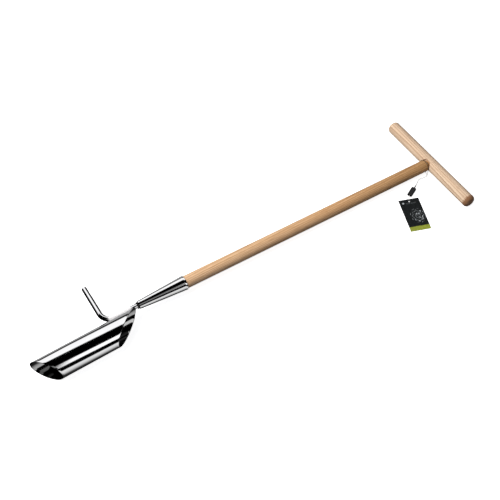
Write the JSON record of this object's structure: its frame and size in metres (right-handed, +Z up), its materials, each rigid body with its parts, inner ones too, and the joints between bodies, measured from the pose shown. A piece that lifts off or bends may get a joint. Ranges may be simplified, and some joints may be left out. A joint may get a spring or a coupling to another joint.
{
  "type": "bulb planter",
  "caption": "Long-handled bulb planter: open steel coring tube, bent side foot peg, tapered socket, round wooden shaft and cross grip, with a swing tag on a string.",
  "frame": {"origin": "centre of the tool's footprint, at the floor it lies on (the swing tag is not counted)", "axes": "+X along the shaft towards the cross grip, +Y across towards the foot peg, +Z up from the floor"},
  "size_m": [1.0728, 0.3028, 0.0632],
  "materials": {
    "polished_steel": "mirror polished stainless steel",
    "weld_steel": "polished weld bead with faint ripples",
    "nail_steel": "bright steel nail",
    "shaft_ash": "oiled ash, warm brown, fine lengthwise grain",
    "grip_ash": "pale ash, satin",
    "dowel_wood": "end grain, satin",
    "loop_string": "thin twisted cord, grey",
    "seal_plastic": "black moulded plastic",
    "card_string": "thin twisted cord, off-white",
    "card_stock": "coated card, black with a green band"
  },
  "bodies": {
    "tool": {"coring_tube": "polished_steel", "foot_rod": "polished_steel", "rod_weld_upper": "weld_steel", "rod_weld_lower": "weld_steel", "socket": "polished_steel", "neck_weld": "weld_steel", "socket_nail": "nail_steel", "shaft": "shaft_ash", "t_grip": "grip_ash", "grip_dowel": "dowel_wood"},
    "tag_line": {"string_loop": "loop_string", "seal_body": "seal_plastic", "seal_stem": "seal_plastic"},
    "tag": {"tag_string": "card_string", "tag_card": "card_stock"}
  },
  "joints": [
    {"name": "string_turn", "type": "hinge", "parent": "tool", "child": "tag_line", "pos_m": [0.50284, 0, 0.01581], "axis": [-0.9999, 0, 0.0171], "range_deg": [0, 180]},
    {"name": "tag_fold", "type": "hinge", "parent": "tag_line", "child": "tag", "pos_m": [0.42259, -0.04739, 0.0021], "axis": [-0.9429, 0.333, 0], "range_deg": [0, 90]}
  ]
}
